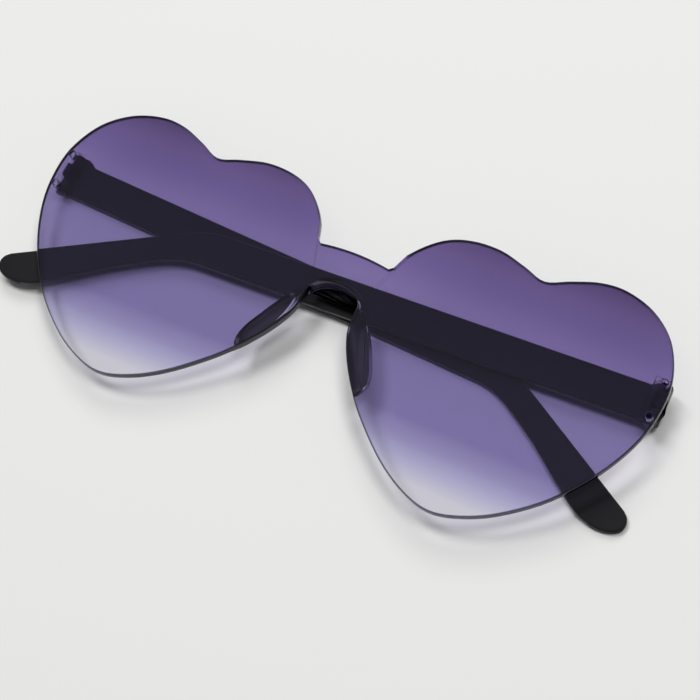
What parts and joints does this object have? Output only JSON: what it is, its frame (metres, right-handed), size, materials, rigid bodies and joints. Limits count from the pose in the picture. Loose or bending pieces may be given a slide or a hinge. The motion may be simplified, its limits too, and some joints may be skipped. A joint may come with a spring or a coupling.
{
  "type": "sunglasses",
  "caption": "Heart shaped rimless sunglasses with a tinted lens front, moulded nose pads and folding black temples, lying folded.",
  "frame": {"origin": "centre of the bounding box in X and Y, on the surface that the folded glasses lie on", "axes": "+X across the lenses to the right temple's hinge as the lenses are seen from the front, +Y from the heart tips to the brow, +Z out of the lenses, away from the surface"},
  "size_m": [0.1532, 0.0604, 0.0118],
  "materials": {
    "lens": "clear tinted plastic, deep violet grey at the brow fading to nearly clear at the tips",
    "hinge": "smoky moulded plastic, clear in the thin flange and near black in the knuckle",
    "rivet": "clear tinted plastic pins, ends just proud of the lens",
    "screw": "small slotted steel screw",
    "temple": "glossy black"
  },
  "bodies": {
    "front": {"lens_front": "lens", "hinge_plate_left": "hinge", "hinge_plate_right": "hinge", "hinge_rivets_left": "rivet", "hinge_rivets_right": "rivet", "hinge_screw_left": "screw", "hinge_screw_right": "screw"},
    "temple_left": {"temple_left": "temple"},
    "temple_right": {"temple_right": "temple"}
  },
  "joints": [
    {"name": "temple_left_hinge", "type": "hinge", "parent": "front", "child": "temple_left", "pos_m": [-0.07259, 0.0113, 0.00325], "axis": [0, 1, 0], "range_deg": [0, 91]},
    {"name": "temple_right_hinge", "type": "hinge", "parent": "front", "child": "temple_right", "pos_m": [0.07259, 0.0113, 0.00545], "axis": [0, -1, 0], "range_deg": [0, 93]}
  ]
}
